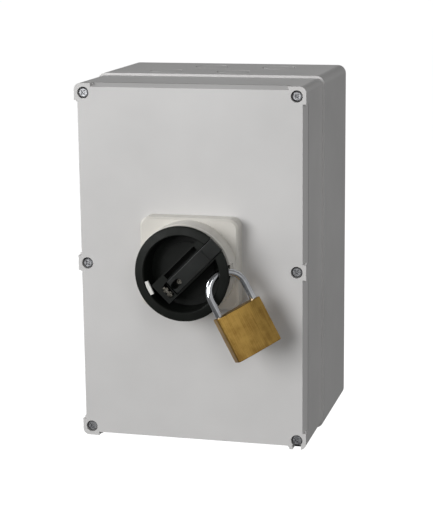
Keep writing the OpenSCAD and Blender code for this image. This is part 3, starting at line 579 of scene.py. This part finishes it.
def buildLatch(size):
    # Bent spring clip: an arm across the bar, a raised pad at each side and a rivet hole in each
    u, w = size["centre"]
    top = size["top"]
    back = size["back"]
    clip = softBlock((u - size["armHalf"], u + size["armHalf"]), (top, back),
                     (w - size["arm"], w + size["arm"]), size["edge"])
    for side in (-1, 1):
        across = sorted((w + side * size["padNear"], w + side * size["padFar"]))
        along = (u - size["padHalf"], u + size["padHalf"])
        pad = softBlock(along, (top + size["padDrop"], back), across, size["edge"])
        cutAway(clip, pad, "UNION")
    for side in (-1, 1):
        hole = (top - size["past"], top + size["holeDepth"])
        cutAway(clip, alongY(u, w + side * size["holeAt"], hole, size["holeRadius"], size["holeSides"]))
    closeGripPiece(clip, "latchClip", "spring_steel", "latch_clip")


buildLockSlide(lockSlide)
buildLatch(latch)
print("lock slide and latch made")

# Screws, by geometry nodes: a head with a cross recess and a threaded shank on each point of a set
screwInputs = {
    "Head Radius": 0.004, "Head Height": 0.0026, "Crown": 0.0008, "Recess Reach": 0.0026,
    "Recess Width": 0.0012, "Recess Depth": 0.0013, "Shank Radius": 0.002, "Shank Length": 0.01,
    "Thread Pitch": 0.0008, "Facing": -1.0,
}
screwCounts = {"Sides": 40, "Thread Turns": 10}
screwShape = {
    "crownTop": 0.78, "wellTop": 0.62, "wellFoot": 0.25, "wellLift": 0.98, "wellSides": 16,
    "coreRadius": 0.86, "ridgeFoot": 0.8, "ridgeTop": 0.99, "shankSides": 20, "recessTurns": (45, 135),
}


def screwTree(shape):
    tree = bpy.data.node_groups.new("screwsOnPoints", "GeometryNodeTree")
    ids = {}
    kinds = {"Geometry": "Geometry", **{label: "Float" for label in screwInputs},
             **{label: "Int" for label in screwCounts}, "Metal": "Material"}
    usual = {**screwInputs, **screwCounts}
    for label, kind in kinds.items():
        socket = tree.interface.new_socket(label, in_out="INPUT", socket_type="NodeSocket" + kind)
        ids[label] = socket.identifier
        if label in usual:
            socket.default_value = usual[label]
    tree.interface.new_socket("Geometry", in_out="OUTPUT", socket_type="NodeSocketGeometry")
    given = addNode(tree, "NodeGroupInput").outputs
    times = {"operation": "MULTIPLY"}
    minus = {"operation": "SUBTRACT"}

    # The head is built along +Z with its face at z = head height, then turned to face out
    straight = addNode(tree, "ShaderNodeMath", minus, links={
        0: given["Head Height"], 1: given["Crown"]}).outputs[0]
    halfWay = addNode(tree, "ShaderNodeMath", times, {1: 0.5}, {0: straight}).outputs[0]
    drum = addNode(tree, "GeometryNodeMeshCylinder", links={
        "Vertices": given["Sides"], "Radius": given["Head Radius"], "Depth": straight}).outputs["Mesh"]
    crownTop = addNode(tree, "ShaderNodeMath", times, {1: shape["crownTop"]},
        {0: given["Head Radius"]}).outputs[0]
    crown = addNode(tree, "GeometryNodeMeshCone", links={
        "Vertices": given["Sides"], "Radius Top": crownTop, "Radius Bottom": given["Head Radius"],
        "Depth": given["Crown"]}).outputs["Mesh"]

    # The cross recess: two arms and a tapered well
    reach = addNode(tree, "ShaderNodeMath", times, {1: 2.0}, {0: given["Recess Reach"]}).outputs[0]
    armHeight = addNode(tree, "ShaderNodeMath", times, {1: 2.0}, {0: given["Recess Depth"]}).outputs[0]
    armSize = addNode(tree, "ShaderNodeCombineXYZ", links={
        "X": reach, "Y": given["Recess Width"], "Z": armHeight}).outputs[0]
    recess = []
    for turn in shape["recessTurns"]:
        arm = addNode(tree, "GeometryNodeMeshCube", links={"Size": armSize}).outputs["Mesh"]
        arm = addNode(tree, "GeometryNodeTransform", values={"Rotation": (0, 0, math.radians(turn))},
                      links={"Geometry": arm}).outputs[0]
        recess.append((arm, given["Head Height"]))
    wellTop = addNode(tree, "ShaderNodeMath", times, {1: shape["wellTop"]},
        {0: given["Recess Reach"]}).outputs[0]
    wellFoot = addNode(tree, "ShaderNodeMath", times, {1: shape["wellFoot"]},
        {0: given["Recess Reach"]}).outputs[0]
    well = addNode(tree, "GeometryNodeMeshCone", values={"Vertices": shape["wellSides"]}, links={
        "Radius Top": wellTop, "Radius Bottom": wellFoot, "Depth": given["Recess Depth"]}).outputs["Mesh"]
    wellLift = addNode(tree, "ShaderNodeMath", times, {1: shape["wellLift"]},
        {0: given["Recess Depth"]}).outputs[0]
    wellFloor = addNode(tree, "ShaderNodeMath", minus, links={
        0: given["Head Height"], 1: wellLift}).outputs[0]
    recess.append((well, wellFloor))

    # Shank core, and one ridge of its thread: a cone that widens and one that narrows
    coreRadius = addNode(tree, "ShaderNodeMath", times, {1: shape["coreRadius"]},
        {0: given["Shank Radius"]}).outputs[0]
    core = addNode(tree, "GeometryNodeMeshCylinder", values={"Vertices": shape["shankSides"]}, links={
        "Radius": coreRadius, "Depth": given["Shank Length"]}).outputs["Mesh"]
    coreMiddle = addNode(tree, "ShaderNodeMath", times, {1: -0.5}, {0: given["Shank Length"]}).outputs[0]
    halfPitch = addNode(tree, "ShaderNodeMath", times, {1: 0.5}, {0: given["Thread Pitch"]}).outputs[0]
    ridge = []
    for top, foot, shift in ((shape["ridgeFoot"], shape["ridgeTop"], 0.0),
                             (shape["ridgeTop"], shape["ridgeFoot"], -1.0)):
        topRadius = addNode(tree, "ShaderNodeMath", times, {1: top},
            {0: given["Shank Radius"]}).outputs[0]
        footRadius = addNode(tree, "ShaderNodeMath", times, {1: foot},
            {0: given["Shank Radius"]}).outputs[0]
        cone = addNode(tree, "GeometryNodeMeshCone", values={"Vertices": shape["shankSides"]}, links={
            "Radius Top": topRadius, "Radius Bottom": footRadius, "Depth": halfPitch}).outputs["Mesh"]
        ridge.append((cone, addNode(tree, "ShaderNodeMath", times, {1: shift},
            {0: halfPitch}).outputs[0]))

    # Each group's parts go to their heights, then join one node
    whole = addNode(tree, "GeometryNodeJoinGeometry")
    head = addNode(tree, "GeometryNodeMeshBoolean", {"operation": "UNION", "solver": "EXACT"})
    cut = addNode(tree, "GeometryNodeMeshBoolean", {"operation": "DIFFERENCE", "solver": "EXACT"},
                  links={0: head.outputs[0]})
    thread = addNode(tree, "GeometryNodeMeshBoolean", {"operation": "UNION", "solver": "EXACT"})
    tree.links.new(cut.outputs[0], whole.inputs[0])
    groups = (([(drum, halfWay), (crown, straight)], head.inputs[1]), (recess, cut.inputs[1]),
              ([(core, coreMiddle)], whole.inputs[0]), (ridge, thread.inputs[1]))
    for parts, target in groups:
        for geometry, height in parts:
            offset = addNode(tree, "ShaderNodeCombineXYZ", links={"Z": height}).outputs[0]
            moved = addNode(tree, "GeometryNodeTransform", links={
                "Geometry": geometry, "Translation": offset})
            tree.links.new(moved.outputs[0], target)

    # The ridge repeats up the shank, a pitch apart
    lowest = addNode(tree, "ShaderNodeMath", minus, links={
        0: halfPitch, 1: given["Shank Length"]}).outputs[0]
    start = addNode(tree, "ShaderNodeCombineXYZ", links={"Z": lowest}).outputs[0]
    stepUp = addNode(tree, "ShaderNodeCombineXYZ", links={"Z": given["Thread Pitch"]}).outputs[0]
    line = addNode(tree, "GeometryNodeMeshLine", {"mode": "OFFSET"}, links={
        "Count": given["Thread Turns"], "Start Location": start, "Offset": stepUp}).outputs["Mesh"]
    turns = addNode(tree, "GeometryNodeInstanceOnPoints", links={
        "Points": line, "Instance": thread.outputs[0]})
    realTurns = addNode(tree, "GeometryNodeRealizeInstances", links={
        "Geometry": turns.outputs[0]}).outputs[0]
    tree.links.new(realTurns, whole.inputs[0])

    quarter = addNode(tree, "ShaderNodeMath", times, {1: math.radians(-90)},
        {0: given["Facing"]}).outputs[0]
    turn = addNode(tree, "ShaderNodeCombineXYZ", links={"X": quarter}).outputs[0]
    facing = addNode(tree, "GeometryNodeTransform", links={
        "Geometry": whole.outputs[0], "Rotation": turn}).outputs[0]
    placed = addNode(tree, "GeometryNodeInstanceOnPoints", links={
        "Points": given["Geometry"], "Instance": facing})
    real = addNode(tree, "GeometryNodeRealizeInstances", links={"Geometry": placed.outputs[0]}).outputs[0]
    coated = addNode(tree, "GeometryNodeSetMaterial", links={
        "Geometry": real, "Material": given["Metal"]}).outputs[0]
    addNode(tree, "NodeGroupOutput", links={0: coated})
    return tree, ids


def looseBoxes(node):
    # Box of each separate solid of a node, in metres
    work = bmesh.new()
    work.from_mesh(frame["nodes"][node].data)
    bmesh.ops.remove_doubles(work, verts=work.verts, dist=edgeWork["weld"] * mm)
    seen = set()
    boxes = []
    for first in work.verts:
        if first.index in seen:
            continue
        group = [first]
        seen.add(first.index)
        for vert in group:
            for edge in vert.link_edges:
                other = edge.other_vert(vert)
                if other.index not in seen:
                    seen.add(other.index)
                    group.append(other)
        boxes.append((Vector([min(v.co[i] for v in group) for i in range(3)]),
                      Vector([max(v.co[i] for v in group) for i in range(3)])))
    work.free()
    return boxes


# Heads face the front (-1) except behind the escutcheon. Head height, shank radius and recess in mm
screwSets = {
    "lidScrews": {"node": "lid_screws", "headHeight": 2.6, "shank": 2.0, "front": -1, "recess": 2.6},
    "plateScrews": {"node": "plate_screws", "headHeight": 2.4, "shank": 1.6, "front": -1, "recess": 2.2},
    "terminalScrews": {
        "node": "terminal_screws", "headHeight": 5.3, "shank": 2.4, "front": -1, "recess": 2.8},
    "earthScrews": {"node": "earth_screws", "headHeight": 2.0, "shank": 2.0, "front": -1, "recess": 2.1},
    "escutcheonScrews": {
        "node": "escutcheon_screws", "headHeight": 2.0, "shank": 1.5, "front": 1, "recess": 2.1},
}
screwMake = {
    "slot": "zinc_steel", "threadPitch": 0.8, "threadLongest": 12, "tipClear": 0.5,
    "crownShare": 0.28, "recessWidthShare": 0.392, "recessDeepest": 1.3, "recessShare": 0.6,
}
screws, screwIds = screwTree(screwShape)


def buildScrews(name, size, make):
    boxes = looseBoxes(size["node"])
    low, high = boxes[0]
    headHeight = size["headHeight"] * mm
    length = high.y - low.y - headHeight
    threadLength = min(length - make["tipClear"] * mm, make["threadLongest"] * mm)
    seats = []
    for boxLow, boxHigh in boxes:
        middle = (boxLow + boxHigh) / 2
        face = boxLow.y if size["front"] < 0 else boxHigh.y
        seats.append(Vector((middle.x, face - size["front"] * headHeight, middle.z)))
    mesh = bpy.data.meshes.new(name)
    mesh.from_pydata(seats, [], [])
    piece = bpy.data.objects.new(name, mesh)
    scene.collection.objects.link(piece)
    repeat = piece.modifiers.new("screws", "NODES")
    repeat.node_group = screws
    sizes = {
        "Head Radius": (high.x - low.x) / 2, "Head Height": headHeight,
        "Crown": make["crownShare"] * headHeight,
        "Recess Reach": size["recess"] * mm,
        "Recess Width": make["recessWidthShare"] * size["recess"] * mm,
        "Recess Depth": min(make["recessDeepest"] * mm, make["recessShare"] * headHeight),
        "Shank Radius": size["shank"] * mm, "Shank Length": length,
        "Thread Pitch": make["threadPitch"] * mm,
        "Facing": float(size["front"]), "Thread Turns": int(threadLength / (make["threadPitch"] * mm)),
        "Metal": finishes[make["slot"]],
    }
    for label, value in sizes.items():
        repeat[screwIds[label]] = value
    made = applyModifiers(piece)
    made.name = name
    work = bmesh.new()
    work.from_mesh(made)
    bpy.data.objects.remove(piece)
    bmesh.ops.remove_doubles(work, verts=work.verts, dist=edgeWork["weld"] * mm)
    placePiece(finishMesh(work, name, finishes[make["slot"]], flatAngle=30), size["node"])


for name, size in screwSets.items():
    buildScrews(name, size, screwMake)
print("screw sets:", len(screwSets))

# Nodes that are shown as they are, each with its finish
keptNodes = {"tie_bolts": "zinc_steel"}

for node, slotName in keptNodes.items():
    data = frame["nodes"][node].data
    data.materials.clear()
    data.materials.append(finishes[slotName])
print("nodes kept:", len(keptNodes))

# Floor, lights and surroundings: metres, metres across and watts
studio = {
    "floorSize": 80.0, "floorDrop": 0.55, "floorGlow": 0.85, "ambient": 0.26, "aim": (0.0, -0.15, 0.0),
    # Grey levels of the surroundings from below to above, and from left to right
    "upDown": ((0.0, 0.35), (0.45, 0.6), (0.56, 1.3), (0.8, 0.5)),
    "leftRight": ((0.0, 1.6), (0.3, 0.5), (0.42, 1.5), (0.58, 0.35), (0.75, 1.6), (1.0, 1.7)),
}
lights = {
    "keyLight": {"location": (-1.5, -2.9, 0.75), "size": 2.0, "power": 60},
    "rimLight": {"location": (0.62, -1.45, 0.6), "size": 0.5, "power": 2.6},
    "edgeLight": {"location": (-2.1, -0.45, 1.0), "size": 0.8, "power": 13},
}


def addFloor(size):
    # Matt white paint, a little cloudy, lit enough from itself to stay white
    material, tree = startMaterial("paintedStudioFloor")
    where = addNode(tree, "ShaderNodeTexCoord").outputs["Object"]
    cloud = addNode(tree, "ShaderNodeTexNoise", values={"Scale": 0.8, "Detail": 2.0}, links={"Vector": where})
    tone = addNode(tree, "ShaderNodeValToRGB", links={"Fac": cloud.outputs["Fac"]})
    rampStops(tone, [(noiseLow, hexColour("f3f3f2")), (noiseHigh, hexColour("f8f8f7"))])
    shader = addNode(tree, "ShaderNodeBsdfPrincipled", values={
        "Roughness": 0.9, "Emission Color": hexColour("ffffff"), "Emission Strength": size["floorGlow"]},
        links={"Base Color": tone.outputs["Color"]})
    addNode(tree, "ShaderNodeOutputMaterial", links={"Surface": shader.outputs["BSDF"]})
    half = size["floorSize"] / 2
    z = cadBox[0].z - size["floorDrop"]
    corners = [(-half, -half, z), (half, -half, z), (half, half, z), (-half, half, z)]
    mesh = bpy.data.meshes.new("studioFloor")
    mesh.from_pydata(corners, [], [(0, 1, 2, 3)])
    mesh.materials.append(material)
    floor = bpy.data.objects.new("studioFloor", mesh)
    scene.collection.objects.link(floor)
    floor.visible_diffuse = False  # keeps the pale floor from lighting the undersides
    floor.visible_glossy = False


def addSoftLight(name, location, size, power, aim):
    data = bpy.data.lights.new(name, "AREA")
    data.shape = "DISK"
    data.size = size
    data.energy = power
    light = bpy.data.objects.new(name, data)
    light.location = location
    toward = Vector(aim) - Vector(location)
    light.rotation_euler = toward.to_track_quat("-Z", "Y").to_euler()
    scene.collection.objects.link(light)


def addSurroundings(size):
    # Bands of grey all round, for the metals to reflect; plain white where they are seen directly
    world = bpy.data.worlds.new("studio")
    scene.world = world
    world.use_nodes = True
    tree = world.node_tree
    tree.nodes.clear()
    eye = addNode(tree, "ShaderNodeLightPath").outputs["Is Camera Ray"]
    toward = addNode(tree, "ShaderNodeTexCoord").outputs["Generated"]
    axes = addNode(tree, "ShaderNodeSeparateXYZ", links={"Vector": toward}).outputs
    bands = []
    for axis, levels in (("Z", size["upDown"]), ("X", size["leftRight"])):
        share = addNode(tree, "ShaderNodeMapRange", values={"From Min": -1.0, "From Max": 1.0}, links={
            "Value": axes[axis]})
        band = addNode(tree, "ShaderNodeValToRGB", links={"Fac": share.outputs["Result"]})
        rampStops(band, [(position, (grey, grey, grey, 1)) for position, grey in levels])
        bands.append(band.outputs["Color"])
    tone = addNode(tree, "ShaderNodeMix", {"data_type": "RGBA", "blend_type": "MULTIPLY"}, {0: 1.0},
                   {6: bands[0], 7: bands[1]}).outputs[2]
    soft = addNode(tree, "ShaderNodeBackground", values={"Strength": size["ambient"]}, links={"Color": tone})
    seen = addNode(tree, "ShaderNodeBackground", values={"Color": hexColour("ffffff"), "Strength": 1.0})
    mix = addNode(tree, "ShaderNodeMixShader", links={0: eye, 1: soft.outputs[0], 2: seen.outputs[0]})
    addNode(tree, "ShaderNodeOutputWorld", links={"Surface": mix.outputs[0]})


addFloor(studio)
for name, light in lights.items():
    addSoftLight(name, light["location"], light["size"], light["power"], studio["aim"])
addSurroundings(studio)
scene.view_settings.view_transform = "Standard"
print("studio lit")

bpy.context.view_layer.update()
